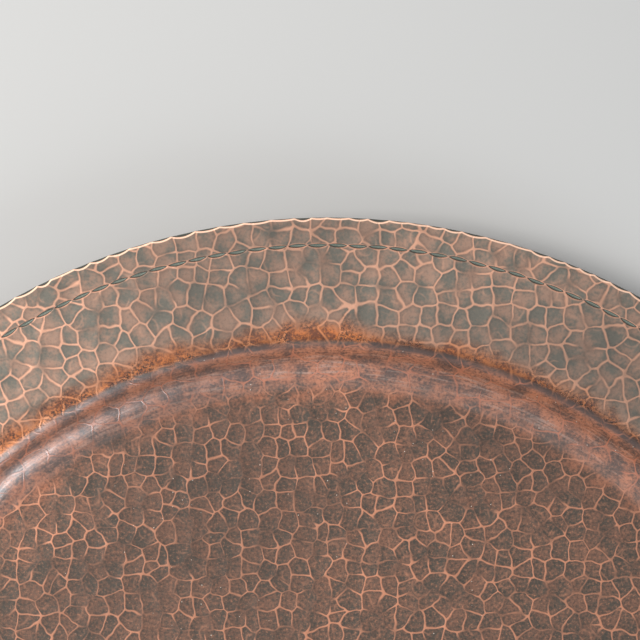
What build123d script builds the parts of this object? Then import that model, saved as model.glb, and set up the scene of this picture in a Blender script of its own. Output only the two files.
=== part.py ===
from build123d import *
from math import cos, degrees, radians, sin, tan
import os

# Round hammered copper tray: one raised sheet with a wired edge, and the wire inside it.
# Millimetres, +Z up.  Origin: centre of the flat underside of the well.

# Overall sizes
OUTER_RADIUS = 225.0        # over the rolled edge
SHEET = 1.2                 # copper sheet thickness
WELL_DEPTH = 15.0           # from the rim line at the shoulder down to the top of the floor
FOOT_RADIUS = 173.3         # where the floor line and the wall line meet before bending
SHOULDER_RADIUS = 182.0     # where the wall line and the rim line meet before bending
FOOT_BEND = 16.0            # bend radius of the top face, floor to wall
SHOULDER_BEND = 14.0        # bend radius of the top face, wall to rim
RIM_RISE = 2.0              # degrees the rim climbs towards its edge

# Wired edge
WIRE_RADIUS = 1.3
WIRE_PLAY = 0.05            # gap all round between the wire and the sheet rolled over it
ROLL_SWEEP = 255.0          # degrees the sheet wraps round the wire
WIRE_END_GAP = 0.8          # between the two butted ends of the wire

# Chased line: a ring of short punch marks just inside the edge
MARK_RING_RADIUS = 215.1
MARK_COUNT = 192
MARK_DEPTH = 0.45           # deepest point below the rim's top face
NOSE_LENGTH = 6.6           # punch nose, tip to tip
NOSE_BULGE = 0.9            # punch nose, half thickness at its middle

# Worked out from the sizes above; every line below is on the sheet's top face
ROLL_RADIUS = WIRE_RADIUS + WIRE_PLAY + SHEET
ROLL_X = OUTER_RADIUS - ROLL_RADIUS
FLOOR_TOP = SHEET
SHOULDER_TOP = FLOOR_TOP + WELL_DEPTH
RIM_SLOPE = radians(RIM_RISE)


def rim_top(radius):
    """Height of the rim's top face at a distance from the middle."""
    return SHOULDER_TOP + (radius - SHOULDER_RADIUS) * tan(RIM_SLOPE)


ROLL_START_X = ROLL_X - ROLL_RADIUS * sin(RIM_SLOPE)
ROLL_START_Z = rim_top(ROLL_START_X)
ROLL_Z = ROLL_START_Z - ROLL_RADIUS * cos(RIM_SLOPE)

# Nose of the chasing punch: a lemon shape lying along Y
with BuildPart() as punch_nose:
    with BuildSketch(Plane.XY):
        with BuildLine():
            nose_side = ThreePointArc(
                (0, -NOSE_LENGTH / 2), (NOSE_BULGE, 0), (0, NOSE_LENGTH / 2)
            )
            Line(nose_side @ 1, nose_side @ 0)
        make_face()
    revolve(axis=Axis.Y)

# Tray sheet: floor, wall, rim and rolled edge raised from one piece of copper
with BuildPart() as tray_sheet:
    with BuildSketch(Plane.XZ):
        with BuildLine():
            FilletPolyline(
                (0, FLOOR_TOP),
                (FOOT_RADIUS, FLOOR_TOP),
                (SHOULDER_RADIUS, SHOULDER_TOP),
                (ROLL_START_X, ROLL_START_Z),
                radius=(FOOT_BEND, SHOULDER_BEND),
            )
            CenterArc((ROLL_X, ROLL_Z), ROLL_RADIUS, 90 + RIM_RISE, -ROLL_SWEEP)
            offset(amount=SHEET, side=Side.RIGHT, closed=True)
        make_face()
    revolve(axis=Axis.Z)
    with Locations((0, 0, rim_top(MARK_RING_RADIUS) + NOSE_BULGE - MARK_DEPTH)):
        with PolarLocations(MARK_RING_RADIUS, MARK_COUNT):
            add(punch_nose.part, mode=Mode.SUBTRACT)

# Rim wire: one round wire bent into a ring inside the roll, its ends butted
with BuildPart() as rim_wire:
    with BuildSketch(Plane.XZ):
        with Locations((ROLL_X, ROLL_Z)):
            Circle(WIRE_RADIUS)
    revolve(axis=Axis.Z, revolution_arc=360 - degrees(WIRE_END_GAP / ROLL_X))

os.makedirs("parts", exist_ok=True)
for name, piece in (("tray_sheet", tray_sheet), ("rim_wire", rim_wire)):
    piece.part.label = name
    export_step(piece.part, f"parts/{name}.step")
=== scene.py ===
import math

import bpy
import numpy as np
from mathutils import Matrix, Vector


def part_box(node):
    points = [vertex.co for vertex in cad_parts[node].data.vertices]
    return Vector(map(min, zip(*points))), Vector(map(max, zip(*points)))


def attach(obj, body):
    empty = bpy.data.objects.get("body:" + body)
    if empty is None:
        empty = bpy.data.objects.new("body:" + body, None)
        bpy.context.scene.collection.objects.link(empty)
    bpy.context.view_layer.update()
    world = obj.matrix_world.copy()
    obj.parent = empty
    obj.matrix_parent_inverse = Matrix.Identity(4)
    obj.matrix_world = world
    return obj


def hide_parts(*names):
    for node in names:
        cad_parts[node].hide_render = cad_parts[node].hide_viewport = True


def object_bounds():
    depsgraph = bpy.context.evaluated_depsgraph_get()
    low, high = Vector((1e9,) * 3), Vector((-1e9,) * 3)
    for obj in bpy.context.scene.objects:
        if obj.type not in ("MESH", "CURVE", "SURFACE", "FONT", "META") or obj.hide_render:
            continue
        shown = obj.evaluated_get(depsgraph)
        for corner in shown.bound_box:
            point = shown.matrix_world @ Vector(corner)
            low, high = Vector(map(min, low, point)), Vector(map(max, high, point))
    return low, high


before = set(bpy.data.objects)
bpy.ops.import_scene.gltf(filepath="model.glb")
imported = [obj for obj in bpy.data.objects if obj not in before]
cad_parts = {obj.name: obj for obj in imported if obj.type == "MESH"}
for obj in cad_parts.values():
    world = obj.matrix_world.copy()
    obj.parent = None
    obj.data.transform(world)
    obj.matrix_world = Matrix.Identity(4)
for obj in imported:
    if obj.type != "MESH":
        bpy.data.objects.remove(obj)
CAD_LOW, CAD_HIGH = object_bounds()

# Lengths are in millimetres until a mesh is made; MM turns them into metres.
MM = 0.001

# The sheet's section, the same sizes as the CAD part
SHEET = 1.2
WELL_DEPTH = 15.0
FOOT_RADIUS = 173.3
SHOULDER_RADIUS = 182.0
FOOT_BEND = 16.0
SHOULDER_BEND = 14.0
RIM_SLOPE = math.radians(2.0)
ROLL_RADIUS = 2.55          # outside of the roll
ROLL_SWEEP = math.radians(255.0)
OUTER_RADIUS = CAD_HIGH.x / MM
ROLL_X = OUTER_RADIUS - ROLL_RADIUS
WIRE_END_GAP = 0.8

# Chased line
MARK_RING_RADIUS = 215.1
MARK_COUNT = 192
MARK_HALF_LENGTH = 3.55
MARK_HALF_WIDTH = 0.70
MARK_DEPTH = 0.6
MARK_LEAN = 0.3             # how far out a mark is deepest, as a share of its half width
MARK_DRIFT_REACH = 3.6      # half the length over which a mark wanders in or out
MARK_ROWS = np.arange(-1.25, 1.3, 0.25)     # mesh rows across the marks
MARK_ROW_REACH = 1.5
NO_MARK = -4.0              # what the groove field says away from the marks

# Hammering.  Places on the sheet are given by length: how far they lie from the middle,
# measured along the top face.
BLOWS = {"rim": 6.7, "wall": 8.6, "floor": 6.0}                 # how far apart the blows fall
DENT_RADII = {"rim": 48.0, "wall": 200.0, "floor": 42.0}        # hollow left by one blow
PATTERN_SHIFTS = {"rim": 3.1, "wall": 17.3, "floor": 41.9}      # keeps the three patterns apart
RIDGE_WIDTHS = {"rim": 0.31, "wall": 0.25, "floor": 0.23}       # half width of a bright ridge
RIDGE_SHARES = {"rim": 1.0, "wall": 0.75, "floor": 1.0}         # how strongly the ridges show
RIDGE_FADES = {"rim": 0.32, "wall": 0.38, "floor": 0.38}        # how much of their length is lost
BLOW_BEND = 1.7             # how far the edges of the dents wander
BLOW_BEND_SIZE = 6.5
OLD_BLOW = 9.5              # spacing and outline radius of earlier, half lost blows
OLD_BLOW_RADIUS = 3.3
OLD_BLOW_LINE = 0.65
OLD_BLOW_SHIFT = 77.0
MEAN_BOWL = 0.12            # mean depth of the dents on the floor and rim
SMALL_WAVE, SMALL_WAVE_SIZE = 0.10, 17
BIG_WAVE, BIG_WAVE_SIZE = 0.12, 60
UNDERSIDE_SHARE = 0.25      # how much of the hammering shows from below
FLOOR_ENDS = (164.5, 170.5)
RIM_STARTS = (184.5, 188.5)
FLOOR_EDGE = 163.0          # where the floor mesh meets the wall mesh

# Edge: side dents along the rolled edge
SIDE_DENT_LENGTHS = (4.8, 9.5)
SIDE_DENT_DEPTHS = (0.15, 0.72)
BEVEL_ANGLE = math.radians(50)
BEVEL_REACH = 3.50          # from the middle of the wire to the bevel, between two side dents
SIDE_INSET = 0.05
CORNER_ROUNDING = 0.25
BEVEL_ROUNDING = 0.12
BLEND_ANGLE = 0.9           # radians round the roll, where the rim's hammering has faded out
NO_ARRIS = -2.0             # what the arris field says away from the edge

# Patina, painted sheen and painted shade, by length or as the size of their patches
# where the painted sheen lies on the foot of the wall
PAINTED_SHEEN_SPAN = (168.0, 181.0)
BURNISHED = (167.5, 188.8)
WELL_ENDS = (164.0, 178.0)
# where the painted shade line lies, at the top of the wall
PAINTED_SHADE_SPAN = (184.8, 187.4)
BAND_LOW = (187.0, 188.6)
BAND_HIGH = (204.5, 213.5)
SPECK_SPACING = 3.4
# painted shade: size and shift of the broad darkening over one side
SHADE_PATCH_SIZE = 120.0
SHADE_PATCH_SHIFT = (550.0, 1005.0, 0.0)

# Mesh resolution
COLUMNS = MARK_COUNT * 12
STEP = 0.75
ARC_STEP = 0.1
FLOOR_CELLS = 384
UNDERSIDE_STEP = 2.0
WIRE_STEPS = 900
WIRE_SIDES = 16
SEED = 7

# Stage, in metres
STAGE_HALF = 4.0
STAGE_GAP = 0.0003          # between the tray and the stage floor

# Patina, bare copper, painted shade and painted sheen, as display colours from 0 to 255
RIM_DARK = (110, 106, 96)
RIM_LIGHT = (158, 127, 109)
WALL_DARK = (100, 70, 58)
WALL_LIGHT = (192, 120, 86)
# painted sheen on the foot of the wall
WALL_PAINTED_SHEEN = (180, 162, 152)
FLOOR_DARK = (75, 66, 56)
FLOOR_LIGHT = (128, 90, 71)
DOTS = (196, 134, 100)
# dark patina, also used for painted shade
SOOT_AND_SHADE = (50, 40, 34)
SPECK = (226, 214, 200)
RIM_RIDGE = (206, 155, 128)
WALL_RIDGE = (200, 122, 90)
FLOOR_RIDGE = (196, 134, 103)
BAND_RIDGE = (222, 136, 80)
BAND_DARK = (128, 66, 34)
BAND_LIGHT = (222, 126, 54)
# painted shade: the dark line where the wall starts
PAINTED_SHADE_LINE = (78, 58, 52)
PIT = (44, 32, 26)
# the grooves' grey-green patina, lightened as a painted highlight
GROOVE_PATINA_AND_HIGHLIGHT = (116, 124, 114)
SIDE_DENT = (84, 86, 78)
ARRIS = (255, 212, 184)
UNDERSIDE_DARK = (84, 60, 48)
UNDERSIDE_LIGHT = (128, 84, 62)
UNDERSIDE_GRAIN = (160, 104, 78)
WIRE_DARK = (92, 62, 48)
WIRE_LIGHT = (170, 108, 78)


# ---- section of the sheet -------------------------------------------------

def arc(centre, radius, start, sweep, step):
    """Points and outward normals along an arc; a negative radius means a hollow bend."""
    count = max(2, int(abs(radius * sweep) / step) + 1)
    angle = np.linspace(start, start + sweep, count)
    out = np.stack([np.cos(angle), np.sin(angle)], 1)
    return np.asarray(centre) + abs(radius) * out, out * np.sign(radius)


def sheet_section():
    """The top face from the middle to the roll: length from the middle, place and normal."""
    wall = np.array([SHOULDER_RADIUS - FOOT_RADIUS, WELL_DEPTH])
    slope = math.atan2(wall[1], wall[0])
    foot_cut = FOOT_BEND * math.tan(slope / 2)
    shoulder_cut = SHOULDER_BEND * math.tan((slope - RIM_SLOPE) / 2)
    shoulder = np.array([SHOULDER_RADIUS, SHEET + WELL_DEPTH])
    rim_way = np.array([math.cos(RIM_SLOPE), math.sin(RIM_SLOPE)])
    rim_up = np.array([-rim_way[1], rim_way[0]])
    quarter = math.pi / 2
    foot_centre = (FOOT_RADIUS - foot_cut, SHEET + FOOT_BEND)
    foot, foot_n = arc(foot_centre, -FOOT_BEND, -quarter, slope, ARC_STEP)
    bend_end = shoulder + shoulder_cut * rim_way
    bend, bend_n = arc(bend_end - SHOULDER_BEND * rim_up, SHOULDER_BEND,
                       quarter + slope, RIM_SLOPE - slope, ARC_STEP)
    roll_start = shoulder + rim_way * (ROLL_X - ROLL_RADIUS * rim_way[1] - shoulder[0]) / rim_way[0]
    points = np.concatenate([[(0, SHEET)], foot, bend, [roll_start]])
    normals = np.concatenate([[(0, 1)], foot_n, bend_n, [rim_up]])
    length = np.concatenate([[0], np.cumsum(np.hypot(*np.diff(points, axis=0).T))])
    return length, points, normals


LENGTH, SECTION, SECTION_NORMAL = sheet_section()
SHEET_LENGTH = LENGTH[-1]
ROLL_Z = SECTION[-1, 1] - ROLL_RADIUS * math.cos(RIM_SLOPE)
MARK_LENGTH = float(np.interp(MARK_RING_RADIUS, SECTION[:, 0], LENGTH))


def along(length):
    """Radius, height and normal of the top face at each length from the middle."""
    radius, height = (np.interp(length, LENGTH, SECTION[:, k]) for k in (0, 1))
    out, up = (np.interp(length, LENGTH, SECTION_NORMAL[:, k]) for k in (0, 1))
    return radius, height, out, up


# ---- node helper, used for both the shader and the geometry trees ----------

class Nodes:
    """Adds nodes to a tree and links them; a value is either a socket or a plain number."""

    def __init__(self, tree):
        self.tree = tree

    def feed(self, socket, value):
        if isinstance(value, bpy.types.NodeSocket):
            self.tree.links.new(value, socket)
        else:
            socket.default_value = value

    def node(self, kind, inputs=(), **settings):
        made = self.tree.nodes.new(kind)
        for key, value in settings.items():
            setattr(made, key, value)
        for key, value in dict(inputs).items():
            self.feed(made.inputs[key], value)
        return made

    def math(self, operation, a, b=0.0, c=0.0):
        return self.node("ShaderNodeMath", {0: a, 1: b, 2: c}, operation=operation).outputs[0]

    def vector(self, operation, a, b=(0.0, 0.0, 0.0)):
        return self.node("ShaderNodeVectorMath", {0: a, 1: b}, operation=operation).outputs[0]

    def times(self, a, factor):
        made = self.node("ShaderNodeVectorMath", {0: a, "Scale": factor}, operation="SCALE")
        return made.outputs[0]

    def length(self, a):
        return self.node("ShaderNodeVectorMath", {0: a}, operation="LENGTH").outputs["Value"]

    def step(self, value, low, high, out_low=0.0, out_high=1.0):
        """Smooth step from out_low at low to out_high at high."""
        made = self.node("ShaderNodeMapRange", {0: value, 1: low, 2: high, 3: out_low, 4: out_high},
                         interpolation_type="SMOOTHSTEP")
        return made.outputs[0]

    def noise(self, place, size, detail=2.0, roughness=0.5, output="Fac"):
        """Noise with features about size across, in the units of place."""
        made = self.node("ShaderNodeTexNoise", {
            "Vector": place, "Scale": 1 / size, "Detail": detail, "Roughness": roughness})
        return made.outputs[output]

    def cells(self, place, feature, output="Distance"):
        inputs = {"Vector": place, "Scale": 1.0, "Randomness": 0.76}
        made = self.node("ShaderNodeTexVoronoi", inputs, feature=feature, voronoi_dimensions="2D")
        if feature == "SMOOTH_F1":
            made.inputs["Smoothness"].default_value = 1.0
        return made.outputs[output]

    def mix(self, factor, a, b):
        made = self.tree.nodes.new("ShaderNodeMix")
        made.data_type = "RGBA"
        self.feed(made.inputs[0], factor)
        self.feed(made.inputs[6], a)
        self.feed(made.inputs[7], b)
        return made.outputs[2]

    def bump(self, shader, height, strength):
        """Fine relief on a shader, from a height in millimetres."""
        made = self.node("ShaderNodeBump", {"Height": height, "Strength": strength, "Distance": MM})
        self.feed(shader.inputs["Normal"], made.outputs[0])


def hammer_place(nodes, place, blow, shift):
    """Where a point lies in the pattern of blows, counted in blows."""
    wander = nodes.noise(place, BLOW_BEND_SIZE, 1.0, output="Color")
    wander = nodes.vector("SUBTRACT", wander, (0.5, 0.5, 0.5))
    bent = nodes.vector("ADD", place, nodes.times(wander, BLOW_BEND * 2))
    return nodes.vector("ADD", nodes.times(bent, 1 / blow), (shift, shift * 0.7, 0.0))


def blow_distances(flat):
    """How far each point of the unrolled sheet is from the middle of its dent, for each zone."""
    mesh = bpy.data.meshes.new("probe")
    mesh.vertices.add(len(flat))
    mesh.vertices.foreach_set("co", np.c_[flat, np.zeros(len(flat))].astype(np.float32).ravel())
    probe = bpy.data.objects.new("probe", mesh)
    bpy.context.scene.collection.objects.link(probe)
    tree = bpy.data.node_groups.new("probe", "GeometryNodeTree")
    tree.interface.new_socket("Geometry", in_out="INPUT", socket_type="NodeSocketGeometry")
    tree.interface.new_socket("Geometry", in_out="OUTPUT", socket_type="NodeSocketGeometry")
    nodes = Nodes(tree)
    place = nodes.node("GeometryNodeInputPosition").outputs[0]
    geometry = nodes.node("NodeGroupInput").outputs[0]
    for zone, blow in BLOWS.items():
        near = nodes.cells(hammer_place(nodes, place, blow, PATTERN_SHIFTS[zone]), "F1")
        store = nodes.node("GeometryNodeStoreNamedAttribute", {
            "Geometry": geometry, "Name": zone, "Value": near}, domain="POINT")
        geometry = store.outputs[0]
    nodes.node("NodeGroupOutput", {0: geometry})
    probe.modifiers.new("probe", "NODES").node_group = tree
    data = probe.evaluated_get(bpy.context.evaluated_depsgraph_get()).data
    found = {}
    for zone, blow in BLOWS.items():
        values = np.empty(len(flat), np.float32)
        data.attributes[zone].data.foreach_get("value", values)
        found[zone] = values.astype(float) * blow
    bpy.data.objects.remove(probe)
    bpy.data.node_groups.remove(tree)
    return found


# ---- height of the hammered face -------------------------------------------

def smooth_step(value, low, high):
    t = np.clip((value - low) / (high - low), 0, 1)
    return t * t * (3 - 2 * t)


def wave_noise(flat, size, seed):
    """Slow unevenness between -1 and 1, from a handful of random waves about size long."""
    rng = np.random.default_rng(seed)
    total = np.zeros(len(flat))
    for _ in range(24):
        turn = rng.uniform(0, 2 * math.pi)
        pitch = 2 * math.pi / (size * rng.uniform(0.7, 1.6))
        way = np.array([math.cos(turn), math.sin(turn)]) * pitch
        total += np.sin(flat @ way + rng.uniform(0, 2 * math.pi))
    return total / math.sqrt(24 * 2)


def groove_field(length, angle):
    """1 in the middle of a punch mark, 0 on its outline, falling away outside it."""
    rng = np.random.default_rng(SEED)
    turn = np.mod(angle, 2 * math.pi) / (2 * math.pi) * MARK_COUNT
    mark = np.floor(turn).astype(int) % MARK_COUNT
    drift = rng.uniform(-0.16, 0.16, MARK_COUNT)[mark]
    tilt = rng.uniform(-0.035, 0.035, MARK_COUNT)[mark]
    u = (turn - np.floor(turn) - 0.5) * 2 * math.pi * MARK_RING_RADIUS / MARK_COUNT
    v = length - MARK_LENGTH - drift * np.cos(u / MARK_DRIFT_REACH * math.pi / 2) - tilt * u
    lean = MARK_LEAN * MARK_HALF_WIDTH
    side = np.where(v > lean, MARK_HALF_WIDTH - lean, MARK_HALF_WIDTH + lean)
    return 1 - np.abs(u / MARK_HALF_LENGTH) ** 2.2 - np.abs(v - lean) / side


def relief(flat):
    """Height of the hammered face above the smooth sheet, and the groove field."""
    length = np.hypot(flat[:, 0], flat[:, 1])
    angle = np.arctan2(flat[:, 1], flat[:, 0])
    near = blow_distances(flat)
    floor = 1 - smooth_step(length, *FLOOR_ENDS)
    rim = smooth_step(length, *RIM_STARTS)
    # each dent is a shallow bowl; floor and rim are lowered by its mean depth
    bowl = {zone: near[zone] ** 2 / (2 * DENT_RADII[zone]) for zone in near}
    height = floor * (bowl["floor"] - MEAN_BOWL) + rim * (bowl["rim"] - MEAN_BOWL)
    height += (1 - floor) * (1 - rim) * bowl["wall"]
    height += SMALL_WAVE * wave_noise(flat, SMALL_WAVE_SIZE, SEED + 1)
    height += BIG_WAVE * wave_noise(flat, BIG_WAVE_SIZE, SEED + 2) * smooth_step(length, 20, 60)
    groove = groove_field(length, angle)
    groove[np.abs(length - MARK_LENGTH) > 4] = NO_MARK
    cut = np.clip(groove, 0, 1) ** 0.75
    lip = np.exp(-((groove + 0.35) / 0.3) ** 2)
    height += 0.07 * lip - MARK_DEPTH * cut
    return height, groove


# ---- meshes -----------------------------------------------------------------

def grid_normals(points):
    """Normals of a grid of points, for every point."""
    down = np.gradient(points, axis=0)
    across = np.gradient(points, axis=1)
    normal = np.cross(across, down)
    return normal / np.maximum(np.linalg.norm(normal, axis=2, keepdims=True), 1e-12)


def grid_piece(name, points, normals, fields, material, node):
    """A mesh piece from a grid of points (mm), riding on the root body."""
    rows, columns = points.shape[:2]
    index = np.arange(rows * columns).reshape(rows, columns)
    corners = [index[:-1, :-1], index[:-1, 1:], index[1:, 1:], index[1:, :-1]]
    faces = np.stack(corners, 2).reshape(-1, 4)
    mesh = bpy.data.meshes.new(name)
    mesh.from_pydata(points.reshape(-1, 3) * MM, [], faces)
    for key, values in fields.items():
        if values.ndim == 3:
            layer = mesh.attributes.new(key, "FLOAT_VECTOR", "POINT")
            layer.data.foreach_set("vector", values.astype(np.float32).ravel())
        else:
            layer = mesh.attributes.new(key, "FLOAT", "POINT")
            layer.data.foreach_set("value", values.astype(np.float32).ravel())
    mesh.shade_smooth()
    mesh.normals_split_custom_set_from_vertices(normals.reshape(-1, 3))
    mesh.materials.append(material)
    piece = bpy.data.objects.new(name, mesh)
    bpy.context.scene.collection.objects.link(piece)
    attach(piece, "root")
    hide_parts(node)
    return piece


def sheet_piece(name, points, normals, fields, material):
    return grid_piece(name, points, normals, fields, material, "tray_sheet")


def on_sheet(flat, raised):
    """Points (mm) of the unrolled sheet put in place, raised above the smooth top face."""
    length = np.hypot(flat[:, 0], flat[:, 1])
    angle = np.arctan2(flat[:, 1], flat[:, 0])
    radius, height, out, up = along(length)
    rho = radius + out * raised
    z = height + up * raised
    return np.stack([rho * np.cos(angle), rho * np.sin(angle), z], 1)


def square_to_disc(cells, radius):
    """A square grid of points bent into a disc, so that the floor has no pinched middle."""
    line = np.linspace(-1, 1, cells + 1)
    x, y = np.meshgrid(line, line, indexing="ij")
    big, small = np.where(np.abs(x) > np.abs(y), x, y), np.where(np.abs(x) > np.abs(y), y, x)
    turn = (math.pi / 4) * np.divide(small, big, out=np.zeros_like(small), where=np.abs(big) > 1e-9)
    along_x = np.where(np.abs(x) > np.abs(y), np.cos(turn), np.sin(turn))
    along_y = np.where(np.abs(x) > np.abs(y), np.sin(turn), np.cos(turn))
    return np.stack([big * along_x, big * along_y], 2) * radius


def build_floor(material):
    flat = square_to_disc(FLOOR_CELLS, FLOOR_EDGE)
    height, groove = relief(flat.reshape(-1, 2))
    points = on_sheet(flat.reshape(-1, 2), height).reshape(flat.shape[:2] + (3,))
    normals = -grid_normals(points)
    normals *= np.sign(normals[..., 2:3])
    place = np.dstack([flat, np.zeros(flat.shape[:2])])
    middle = FLOOR_CELLS // 2
    for name, rows in (("floor_left", slice(0, middle + 1)), ("floor_right", slice(middle, None))):
        fields = {"unrolled": place[rows], "groove": groove.reshape(flat.shape[:2])[rows],
                  "arris": np.full(place[rows].shape[:2], NO_ARRIS)}
        sheet_piece(name, points[rows][:, ::-1], normals[rows][:, ::-1],
                    {k: v[:, ::-1] for k, v in fields.items()}, material)


def ring_flat(lengths):
    """Unrolled points on rings of the given lengths; the last column repeats the first."""
    angle = np.linspace(0, 2 * math.pi, COLUMNS + 1)
    return np.stack([np.outer(lengths, np.cos(angle)), np.outer(lengths, np.sin(angle))], 2)


def ring_normals(points):
    """Normals of a closed ring grid, the same on both sides of the seam."""
    wide = np.concatenate([points[:, -3:-1], points, points[:, 1:3]], 1)
    return grid_normals(wide)[:, 2:-2]


def build_rim(material):
    """Wall and rim up to the start of the roll, in four quarters."""
    rows = np.arange(FLOOR_EDGE, SHEET_LENGTH, STEP)
    rows = rows[np.abs(rows - MARK_LENGTH) > MARK_ROW_REACH]
    rows = np.sort(np.concatenate([rows, MARK_LENGTH + MARK_ROWS, [SHEET_LENGTH]]))
    rows = rows[np.concatenate([[True], np.diff(rows) > 0.1])]
    flat = ring_flat(rows)
    height, groove = relief(flat.reshape(-1, 2))
    points = on_sheet(flat.reshape(-1, 2), height).reshape(flat.shape[:2] + (3,))
    points[:, -1] = points[:, 0]
    normals = ring_normals(points)
    groove = groove.reshape(flat.shape[:2])
    place = np.dstack([flat, np.zeros(flat.shape[:2])])
    quarter = COLUMNS // 4
    for k in range(4):
        part = slice(k * quarter, (k + 1) * quarter + 1)
        fields = {"unrolled": place[:, part], "groove": groove[:, part],
                  "arris": np.full(groove[:, part].shape, NO_ARRIS)}
        sheet_piece(f"rim_quarter_{k + 1}", points[:, part], normals[:, part], fields, material)
    return points[-1], normals[-1]


# ---- rolled edge ----------------------------------------------------------------

def smooth_min(a, b, width):
    blend = np.clip(0.5 + 0.5 * (b - a) / width, 0, 1)
    return b + (a - b) * blend - width * blend * (1 - blend)


def edge_facets(angle):
    """For each angle: how far its side dent's middle is, and the dent's depth and half length."""
    rng = np.random.default_rng(SEED + 3)
    lengths = rng.uniform(*SIDE_DENT_LENGTHS, 230)
    ends = np.concatenate([[0], np.cumsum(lengths)])
    count = int(np.searchsorted(ends, 2 * math.pi * OUTER_RADIUS))
    ends = ends[:count + 1] / ends[count]
    which = np.clip(np.searchsorted(ends, angle / (2 * math.pi), side="right") - 1, 0, count - 1)
    width = (ends[which + 1] - ends[which]) * 2 * math.pi * OUTER_RADIUS
    t = (angle / (2 * math.pi) - ends[which]) * 2 * math.pi * OUTER_RADIUS - width / 2
    depth = rng.uniform(*SIDE_DENT_DEPTHS, count)[which]
    return np.abs(t), depth, width / 2


def build_edge(material, seam, seam_normals):
    """The edge rolled round the wire and planished into a rounded square, in two halves."""
    top = math.pi / 2 + RIM_SLOPE
    turn = np.concatenate([np.linspace(top, -0.2, 36), np.linspace(-0.2, top - ROLL_SWEEP, 16)[1:]])
    angle = np.linspace(0, 2 * math.pi, COLUMNS + 1)
    facets = edge_facets(np.mod(angle, 2 * math.pi - 1e-9))
    t, depth, half = (np.tile(value, (len(turn), 1)) for value in facets)
    phi = np.tile(turn[:, None], (1, len(angle)))

    def flat_side(distance, direction):
        """How far out a flat side lies at each angle, if it faces direction at this distance."""
        return distance / np.maximum(np.cos(phi - direction), 0.05)

    top_plane = flat_side(ROLL_RADIUS, top)
    side_plane = flat_side(ROLL_RADIUS - SIDE_INSET, 0)
    bevel_plane = flat_side(BEVEL_REACH - depth * (1 - (t / half) ** 2), BEVEL_ANGLE)
    corner = smooth_min(top_plane, side_plane, CORNER_ROUNDING)
    corner = smooth_min(corner, bevel_plane, BEVEL_ROUNDING)
    size = np.where(phi > 0, corner, smooth_min(corner, np.full_like(phi, ROLL_RADIUS), 0.05))
    arris = np.clip(top_plane - bevel_plane, NO_ARRIS, -NO_ARRIS)
    # the hammered face of the rim carries on over the top of the roll
    carry = np.clip((phi - BLEND_ANGLE) / (top - BLEND_ANGLE), 0, 1)[..., None]
    radius = ROLL_X + size * np.cos(phi)
    z = ROLL_Z + size * np.sin(phi)
    points = np.stack([radius * np.cos(angle), radius * np.sin(angle), z], 2)
    points += (seam - points[0]) * carry
    points[:, -1] = points[:, 0]
    normals = ring_normals(points)
    normals[0] = seam_normals
    length = SHEET_LENGTH + (top - phi) * ROLL_RADIUS
    place = np.stack([length * np.cos(angle), length * np.sin(angle), np.zeros_like(phi)], 2)
    groove = np.full(phi.shape, NO_MARK)
    half_turn = COLUMNS // 2
    for k, name in enumerate(("edge_front", "edge_back")):
        part = slice(k * half_turn, (k + 1) * half_turn + 1)
        fields = {"unrolled": place[:, part], "groove": groove[:, part], "arris": arris[:, part]}
        sheet_piece(name, points[:, part], normals[:, part], fields, material)
    return points[-1]


def build_underside(material, roll_end):
    """The underside of the sheet, the inside of the roll and the sheet's cut edge."""
    columns = slice(None, None, 2)
    lengths = np.arange(UNDERSIDE_STEP, SHEET_LENGTH, UNDERSIDE_STEP)
    lengths = np.concatenate([[0.01], lengths, [SHEET_LENGTH]])
    flat = ring_flat(lengths)[:, columns]
    # the blows show faintly from below, but never press the sheet through the table
    raised = np.maximum(UNDERSIDE_SHARE * relief(flat.reshape(-1, 2))[0] - SHEET, -SHEET)
    points = on_sheet(flat.reshape(-1, 2), raised).reshape(flat.shape[:2] + (3,))
    angle = np.linspace(0, 2 * math.pi, COLUMNS + 1)[columns]
    turn = np.linspace(math.pi / 2 + RIM_SLOPE, math.pi / 2 + RIM_SLOPE - ROLL_SWEEP, 20)
    inside = ROLL_RADIUS - SHEET
    radius = np.tile((ROLL_X + inside * np.cos(turn))[:, None], (1, len(angle)))
    height = np.tile((ROLL_Z + inside * np.sin(turn))[:, None], (1, len(angle)))
    inner = np.stack([radius * np.cos(angle), radius * np.sin(angle), height], 2)
    points = np.concatenate([points, inner, roll_end[None, columns]])
    points[:, -1] = points[:, 0]
    lengths = np.concatenate([lengths, SHEET_LENGTH + np.arange(1, 22) * 1.0])
    place = np.stack([np.outer(lengths, np.cos(angle)), np.outer(lengths, np.sin(angle)),
                      np.zeros((len(lengths), len(angle)))], 2)
    fields = {"unrolled": place[:, ::-1]}
    normals = -ring_normals(points)
    sheet_piece("underside", points[:, ::-1], normals[:, ::-1], fields, material)


def build_wire(material):
    """The rim wire: a ring of round wire with a gap at its butt joint, closed by domed ends."""
    low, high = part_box("rim_wire")
    radius = (high.z - low.z) / 2 / MM
    centre = high.x / MM - radius
    z = (high.z + low.z) / 2 / MM
    gap = WIRE_END_GAP / centre
    angle = np.linspace(gap / 2, 2 * math.pi - gap / 2, WIRE_STEPS)
    size = np.full(len(angle), radius)
    angle = np.concatenate([[angle[0]], angle, [angle[-1]]])
    size = np.concatenate([[0.001], size, [0.001]])
    turn = np.linspace(0, 2 * math.pi, WIRE_SIDES + 1)
    rho = centre + size[:, None] * np.cos(turn)
    height = z + size[:, None] * np.sin(turn)
    points = np.stack([rho * np.cos(angle)[:, None], rho * np.sin(angle)[:, None], height], 2)
    normals = np.stack([np.cos(turn) * np.cos(angle)[:, None],
                        np.cos(turn) * np.sin(angle)[:, None],
                        np.tile(np.sin(turn), (len(angle), 1))], 2)
    grid_piece("rim_wire_ring", points, normals, {}, material, "rim_wire")


# ---- materials --------------------------------------------------------------------

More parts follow.
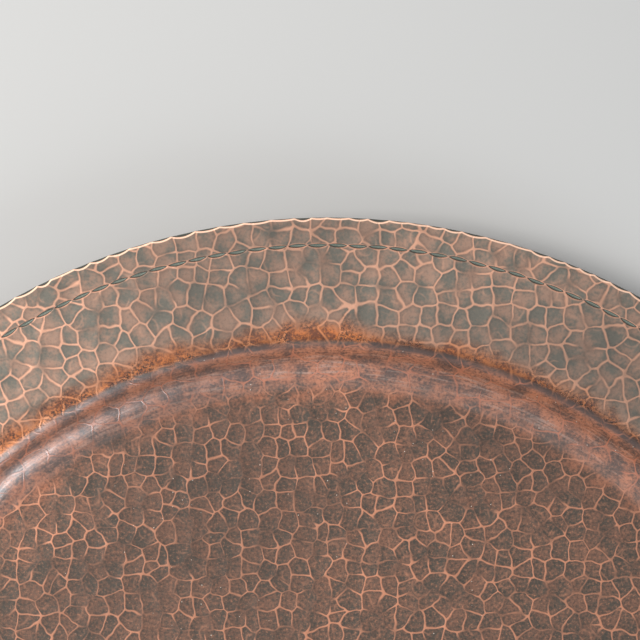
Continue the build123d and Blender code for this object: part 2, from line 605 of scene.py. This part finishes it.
def colour(red, green, blue):
    """A display colour, 0 to 255, as the linear colour that nodes use."""
    shown = np.array([red, green, blue]) / 255
    linear = np.where(shown > 0.0404, ((shown + 0.055) / 1.055) ** 2.4, shown / 12.92)
    return (*linear.tolist(), 1.0)


def new_material(name):
    material = bpy.data.materials.new(name)
    material.use_nodes = True
    tree = material.node_tree
    return material, Nodes(tree), tree.nodes["Principled BSDF"]


class Face:
    """What the parts of the copper shader share: where a point is, its zone, and noises over it."""

    def __init__(self, nodes):
        self.nodes = nodes
        self.place = nodes.node("ShaderNodeAttribute", attribute_name="unrolled").outputs["Vector"]
        self.groove = nodes.node("ShaderNodeAttribute", attribute_name="groove").outputs["Fac"]
        self.arris = nodes.node("ShaderNodeAttribute", attribute_name="arris").outputs["Fac"]
        self.length = nodes.length(self.place)
        self.floor = nodes.step(self.length, *FLOOR_ENDS, 1.0, 0.0)
        self.rim = nodes.step(self.length, *RIM_STARTS)
        self.wall = nodes.math("SUBTRACT", nodes.math("SUBTRACT", 1.0, self.floor), self.rim)
        # noises, by the size of their patches in millimetres
        self.slow = nodes.noise(self.place, 34, 2.0)
        self.patch = nodes.noise(self.place, 8, 3.0, 0.55)
        self.grain = nodes.noise(self.place, 1.3, 4.0, 0.7)
        self.speck = nodes.noise(self.place, 1.0, 3.0, 0.75)
        # noise drawn out along the circles, as left by rubbing the wall with fine wool
        around = nodes.times(nodes.vector("NORMALIZE", self.place), 16.0)
        up = nodes.node("ShaderNodeCombineXYZ", {"Z": self.length}).outputs[0]
        self.streak = nodes.noise(nodes.vector("ADD", around, up), 1.5, 4.0, 0.65)

    def between(self, low, high, soft):
        """1 where the length lies between low and high, with soft edges."""
        start = self.nodes.step(self.length, low - soft, low + soft)
        end = self.nodes.step(self.length, high - soft, high + soft, 1.0, 0.0)
        return self.nodes.math("MULTIPLY", start, end)


def dent_pattern(face, zone):
    """For one zone: its ridge lines, a wider band beside them, and a random tone for each dent."""
    nodes = face.nodes
    blow, half_width, fades = BLOWS[zone], RIDGE_WIDTHS[zone], RIDGE_FADES[zone]
    spot = hammer_place(nodes, face.place, blow, PATTERN_SHIFTS[zone])
    near = nodes.cells(spot, "F1")
    gap = nodes.math("SUBTRACT", nodes.cells(spot, "F2"), near)
    edge = nodes.math("MULTIPLY_ADD", nodes.cells(spot, "DISTANCE_TO_EDGE"), blow * 0.6,
                      nodes.math("MULTIPLY", gap, blow * 0.2))
    # the smoothed distance dips most where three dents meet, which rounds their corners
    dip = nodes.math("SUBTRACT", near, nodes.cells(spot, "SMOOTH_F1"))
    dip = nodes.math("MAXIMUM", nodes.math("SUBTRACT", dip, 0.125), 0.0)
    edge = nodes.math("MULTIPLY_ADD", dip, blow * -0.6, edge)
    uneven = nodes.noise(face.place, 4.0, 2.0)
    width = nodes.math("MULTIPLY_ADD", uneven, half_width * 0.9, half_width * 0.55)
    line = nodes.math("DIVIDE", edge, width)
    fade = nodes.step(nodes.noise(face.place, 11.0, 1.5), fades, fades + 0.18, 0.10, 1.0)
    ridge = nodes.math("MULTIPLY", nodes.step(line, 0.1, 1.9, 1.0, 0.0), fade)
    beside = nodes.step(line, 1.5, 5.0, 1.0, 0.0)
    tone = nodes.node("ShaderNodeSeparateColor", {0: nodes.cells(spot, "F1", "Color")}).outputs[0]
    return ridge, beside, tone


def dents(face):
    """The three zones' ridges, bands beside them and tones, each zone in its own place."""
    nodes = face.nodes
    total = [0.0, 0.0, 0.0]
    for zone, mask in (("rim", face.rim), ("floor", face.floor), ("wall", face.wall)):
        share = nodes.math("MULTIPLY", mask, RIDGE_SHARES[zone])
        total = [nodes.math("MULTIPLY_ADD", part, share, so_far)
                 for part, so_far in zip(dent_pattern(face, zone), total)]
    return total


def ghost_arcs(face):
    """Faint round outlines of earlier blows, half hammered away."""
    nodes = face.nodes
    spot = hammer_place(nodes, face.place, OLD_BLOW, OLD_BLOW_SHIFT)
    ring = nodes.math("MULTIPLY_ADD", nodes.cells(spot, "F1"), OLD_BLOW, -OLD_BLOW_RADIUS)
    arcs = nodes.step(nodes.math("ABSOLUTE", ring), 0.0, OLD_BLOW_LINE, 1.0, 0.0)
    shown = nodes.step(nodes.noise(face.place, 6.5, 1.0), 0.48, 0.64, 0.0, 0.30)
    flat_parts = nodes.math("ADD", face.rim, face.floor)
    return nodes.math("MULTIPLY", nodes.math("MULTIPLY", arcs, shown), flat_parts)


def facet_colour(face, tone):
    """The patina in the dents: grey-green to pinkish rim, red-brown wall, dark brown floor."""
    nodes = face.nodes
    tone = nodes.math("SUBTRACT", tone, 0.5)
    soft = nodes.math("MULTIPLY_ADD", face.patch, 0.72, nodes.math("MULTIPLY", face.grain, 0.28))
    mottled = nodes.step(nodes.math("MULTIPLY_ADD", tone, 0.05, soft), 0.40, 0.60)
    rim = nodes.mix(mottled, colour(*RIM_DARK), colour(*RIM_LIGHT))
    rubbed = nodes.math("MULTIPLY_ADD", face.streak, 0.25, nodes.math("MULTIPLY", soft, 0.75))
    wall = nodes.mix(nodes.step(rubbed, 0.41, 0.59), colour(*WALL_DARK), colour(*WALL_LIGHT))
    fine = nodes.math("MULTIPLY_ADD", face.patch, 0.35, nodes.math("MULTIPLY", face.grain, 0.65))
    fine = nodes.math("MULTIPLY_ADD", tone, 0.10, fine)
    floor = nodes.mix(nodes.step(fine, 0.38, 0.62), colour(*FLOOR_DARK), colour(*FLOOR_LIGHT))

    # painted sheen: paler streaks along the foot of the wall stand in for the wall's broad
    # highlight
    pale = nodes.step(face.streak, 0.48, 0.68, 0.0, 0.48)
    pale = nodes.math("MULTIPLY", face.between(*PAINTED_SHEEN_SPAN, 3.0), pale)
    wall = nodes.mix(pale, wall, colour(*WALL_PAINTED_SHEEN))

    # the floor's dark patina ends raggedly on the foot of the wall
    ragged = nodes.math("MULTIPLY_ADD", face.patch, 10.0, face.length)
    well = nodes.step(ragged, *WELL_ENDS, 1.0, 0.0)
    base = nodes.mix(well, nodes.mix(face.rim, wall, rim), floor)

    # dark and bright grain, strongest down in the well
    strength = nodes.math("MULTIPLY_ADD", face.rim, -0.38, 0.55)
    dark = nodes.math("MULTIPLY", nodes.step(face.speck, 0.36, 0.50, 1.0, 0.0), strength)
    bright = nodes.math("MULTIPLY", nodes.step(face.speck, 0.54, 0.70), strength)
    return nodes.mix(bright, nodes.mix(dark, base, colour(*SOOT_AND_SHADE)), colour(*DOTS))


def white_specks(face):
    """Sparse pinpricks of bare, shining metal down in the well."""
    nodes = face.nodes
    inputs = {"Vector": face.place, "Scale": 1 / SPECK_SPACING, "Randomness": 1.0}
    spots = nodes.node("ShaderNodeTexVoronoi", inputs, voronoi_dimensions="2D")
    chance = nodes.node("ShaderNodeSeparateColor", {0: spots.outputs["Color"]}).outputs[0]
    size = nodes.step(chance, 0.72, 1.0, 0.0, 0.055)
    dot = nodes.math("LESS_THAN", spots.outputs["Distance"], size)
    dot = nodes.math("MULTIPLY", dot, nodes.step(face.slow, 0.48, 0.56, 0.0, 0.9))
    return nodes.math("MULTIPLY", dot, nodes.math("SUBTRACT", 1.0, face.rim))


def shoulder_band(face):
    """How far the orange stain on the shoulder shows: a crisp lower edge and a ragged upper one."""
    nodes = face.nodes
    low = nodes.step(nodes.math("MULTIPLY_ADD", face.patch, 1.6, face.length), *BAND_LOW)
    ragged = nodes.math("MULTIPLY_ADD", face.patch, 14.0, face.length)
    ragged = nodes.math("MULTIPLY_ADD", face.grain, 5.0, ragged)
    ragged = nodes.math("MULTIPLY_ADD", face.slow, 16.0, ragged)
    high = nodes.step(ragged, *BAND_HIGH, 0.92, 0.0)
    return nodes.math("MULTIPLY", low, high)


def stain(face, base, band):
    """The orange stain on the shoulder, and below it a dark line of painted shade that stands in
    for the dark reflection at the top of the wall.
    """
    nodes = face.nodes
    mottled = nodes.math("MULTIPLY_ADD", face.grain, 0.6, nodes.math("MULTIPLY", face.patch, 0.4))
    orange = nodes.mix(nodes.step(mottled, 0.42, 0.57), colour(*BAND_DARK), colour(*BAND_LIGHT))
    base = nodes.mix(band, base, orange)
    # painted shade: a dark line where the wall starts, in place of the dark reflection seen there
    under = nodes.step(face.slow, 0.40, 0.52, 0.05, 0.85)
    under = nodes.math("MULTIPLY", face.between(*PAINTED_SHADE_SPAN, 0.8), under)
    return nodes.mix(under, base, colour(*PAINTED_SHADE_LINE))


def bare_ridges(face, base, line, beside, band):
    """Ridges rubbed down to bare copper, with the patina darkest beside them."""
    nodes = face.nodes
    base = nodes.mix(nodes.math("MULTIPLY", beside, 0.22), base, colour(*SOOT_AND_SHADE))
    ridge = nodes.mix(face.rim, colour(*FLOOR_RIDGE), colour(*RIM_RIDGE))
    ridge = nodes.mix(face.wall, ridge, colour(*WALL_RIDGE))
    ridge = nodes.mix(band, ridge, colour(*BAND_RIDGE))
    base = nodes.mix(line, base, ridge)
    return nodes.mix(white_specks(face), base, colour(*SPECK))


def black_pits(face, band):
    """Fine black pits, in patches of the orange stain."""
    nodes = face.nodes
    pits = nodes.step(nodes.noise(face.place, 0.9, 2.0, 0.6), 0.44, 0.49, 1.0, 0.0)
    clusters = nodes.step(nodes.noise(face.place, 13, 2.0), 0.42, 0.56, 0.0, 0.9)
    return nodes.math("MULTIPLY", pits, nodes.math("MULTIPLY", band, clusters))


def painted_side_shade(face, base):
    """Painted shade: broad areas are darkened, the noise shifted so that one side of the tray comes
    out darker, standing in for light that falls off across it.
    """
    nodes = face.nodes
    shade_noise = nodes.noise(nodes.vector("ADD", face.place, SHADE_PATCH_SHIFT), SHADE_PATCH_SIZE, 1.0)
    return nodes.mix(nodes.step(shade_noise, 0.42, 0.58, 0.0, 0.26), base, colour(*SOOT_AND_SHADE))


def punch_marks(face, base):
    """The chased line: each mark dark at its rim, painted shade on its walls, and paler in the
    middle, a painted highlight over its grey-green patina; with bright lips.
    """
    nodes = face.nodes
    inside = nodes.step(face.groove, -0.02, 0.14)
    outside = nodes.math("SUBTRACT", 1.0, inside)
    lips = nodes.math("MULTIPLY", nodes.step(face.groove, -0.75, -0.1), outside)
    lips = nodes.math("MULTIPLY", lips, nodes.step(face.patch, 0.38, 0.58, 0.15, 0.85))
    base = nodes.mix(lips, base, colour(*RIM_RIDGE))
    # painted shade round each mark's rim and a painted highlight in its middle, over the groove's
    # grey-green patina
    groove_shade_and_highlight = nodes.mix(nodes.step(face.groove, 0.15, 0.5), colour(*SOOT_AND_SHADE), colour(*GROOVE_PATINA_AND_HIGHLIGHT))
    return nodes.mix(inside, base, groove_shade_and_highlight)


def worn_edge(face, base):
    """A bright arris along the edge, with darker side dents beyond it."""
    nodes = face.nodes
    base = nodes.mix(nodes.step(face.arris, 0.0, 0.35), base, colour(*SIDE_DENT))
    bright = nodes.step(nodes.math("ABSOLUTE", face.arris), 0.10, 0.42, 1.0, 0.0)
    return nodes.mix(bright, base, colour(*ARRIS))


def copper_finish(face, shader, line, band, pits):
    """Roughness, metal and fine bumps: dull on the rim and floor, burnished on the wall."""
    nodes = face.nodes
    rough = nodes.math("MULTIPLY_ADD", face.grain, 0.22, 0.55)
    gloss = nodes.math("MULTIPLY_ADD", face.streak, 0.36, 0.13)
    gloss = nodes.math("MULTIPLY", face.between(*BURNISHED, 2.0), gloss)
    rough = nodes.math("SUBTRACT", rough, gloss)
    rough = nodes.math("MULTIPLY_ADD", line, -0.06, rough)
    nodes.feed(shader.inputs["Roughness"], rough)
    metal = nodes.math("MULTIPLY_ADD", band, -0.05, 0.75)
    metal = nodes.math("MULTIPLY_ADD", face.wall, -0.62, metal)
    nodes.feed(shader.inputs["Metallic"], metal)
    shader.inputs["IOR"].default_value = 2.3
    lift = nodes.math("MULTIPLY_ADD", line, 0.05, nodes.math("MULTIPLY", face.grain, 0.03))
    lift = nodes.math("MULTIPLY_ADD", nodes.math("MULTIPLY", face.wall, face.streak), 0.07, lift)
    lift = nodes.math("MULTIPLY_ADD", pits, -0.06, lift)
    nodes.bump(shader, lift, 0.8)


def copper_material():
    """The hammered, patinated face of the tray."""
    material, nodes, shader = new_material("hammered_copper")
    face = Face(nodes)
    line, beside, tone = dents(face)
    line = nodes.math("MAXIMUM", line, ghost_arcs(face))
    band = shoulder_band(face)
    pits = black_pits(face, band)
    base = stain(face, facet_colour(face, tone), band)
    base = bare_ridges(face, base, line, beside, band)
    base = nodes.mix(pits, base, colour(*PIT))
    # painted shade over one side of the tray
    base = painted_side_shade(face, base)
    base = punch_marks(face, base)
    base = worn_edge(face, base)
    nodes.feed(shader.inputs["Base Color"], base)
    copper_finish(face, shader, line, band, pits)
    return material


def underside_material():
    """The back of the sheet: dark, mottled and unpolished."""
    material, nodes, shader = new_material("copper_underside")
    place = nodes.node("ShaderNodeAttribute", attribute_name="unrolled").outputs["Vector"]
    patch = nodes.noise(place, 24, 4.0, 0.6)
    grain = nodes.noise(place, 1.6, 4.0, 0.65)
    mottled = nodes.step(patch, 0.35, 0.65)
    base = nodes.mix(mottled, colour(*UNDERSIDE_DARK), colour(*UNDERSIDE_LIGHT))
    base = nodes.mix(nodes.step(grain, 0.55, 0.75, 0.0, 0.5), base, colour(*UNDERSIDE_GRAIN))
    nodes.feed(shader.inputs["Base Color"], base)
    nodes.feed(shader.inputs["Roughness"], nodes.math("MULTIPLY_ADD", grain, 0.25, 0.38))
    shader.inputs["Metallic"].default_value = 0.7
    nodes.bump(shader, nodes.math("MULTIPLY", grain, 0.04), 0.7)
    return material


def wire_material():
    """Dull drawn copper."""
    material, nodes, shader = new_material("copper_wire")
    place = nodes.times(nodes.node("ShaderNodeTexCoord").outputs["Object"], 1 / MM)
    grain = nodes.noise(place, 1.2, 4.0, 0.65)
    base = nodes.mix(nodes.step(grain, 0.4, 0.65), colour(*WIRE_DARK), colour(*WIRE_LIGHT))
    nodes.feed(shader.inputs["Base Color"], base)
    nodes.feed(shader.inputs["Roughness"], nodes.math("MULTIPLY_ADD", grain, 0.2, 0.35))
    shader.inputs["Metallic"].default_value = 0.8
    return material


# ---- stage, light and camera --------------------------------------------------------

def build_stage():
    """A plain pale floor just under the tray."""
    mesh = bpy.data.meshes.new("stage_floor")
    corners = [(-1, -1), (1, -1), (1, 1), (-1, 1)]
    points = [(x * STAGE_HALF, y * STAGE_HALF, CAD_LOW.z - STAGE_GAP) for x, y in corners]
    mesh.from_pydata(points, [], [(0, 1, 2, 3)])
    material, _, shader = new_material("stage_floor")
    shader.inputs["Base Color"].default_value = (0.48, 0.475, 0.466, 1)
    shader.inputs["Roughness"].default_value = 0.9
    mesh.materials.append(material)
    floor = bpy.data.objects.new("stage_floor", mesh)
    bpy.context.scene.collection.objects.link(floor)


def area_light(name, place, target, size, power, tint):
    light = bpy.data.lights.new(name, "AREA")
    light.shape = "RECTANGLE"
    light.size, light.size_y = size
    light.energy = power
    light.color = tint
    lamp = bpy.data.objects.new(name, light)
    lamp.location = place
    lamp.rotation_euler = (Vector(target) - Vector(place)).to_track_quat("-Z", "Y").to_euler()
    bpy.context.scene.collection.objects.link(lamp)


def build_lights():
    """Pale surroundings, a soft key light, and a low window that makes the wall shine."""
    world = bpy.data.worlds.new("studio")
    bpy.context.scene.world = world
    world.use_nodes = True
    background = world.node_tree.nodes["Background"]
    background.inputs["Color"].default_value = (0.92, 0.95, 1.0, 1)
    background.inputs["Strength"].default_value = 0.42
    target = (0, 0.1, 0)
    area_light("key", (-0.85, 0.35, 0.95), target, (0.9, 0.9), 21.5, (1.0, 0.98, 0.95))
    area_light("window", (1.18, -0.97, 0.62), target, (1.25, 0.60), 19, (0.86, 0.95, 1.0))


def build_camera():
    """Close above the far part of the rim, looking nearly straight down."""
    camera = bpy.data.cameras.new("camera")
    camera.sensor_width = 36
    camera.lens = 112.5
    rim_radius = CAD_HIGH.x
    tilt = math.radians(85)
    aim = Vector((-0.012 * rim_radius, 0.840 * rim_radius, CAD_HIGH.z))
    back = Vector((0, -math.cos(tilt), math.sin(tilt)))
    eye = bpy.data.objects.new("camera", camera)
    eye.location = aim + back * 3.086 * rim_radius
    eye.rotation_euler = (math.pi / 2 - tilt, 0, 0)
    bpy.context.scene.collection.objects.link(eye)
    bpy.context.scene.camera = eye


copper = copper_material()
build_floor(copper)
seam, seam_normals = build_rim(copper)
roll_end = build_edge(copper, seam, seam_normals)
build_underside(underside_material(), roll_end)
build_wire(wire_material())
bpy.context.scene.view_settings.view_transform = "Standard"
build_stage()
build_lights()
build_camera()
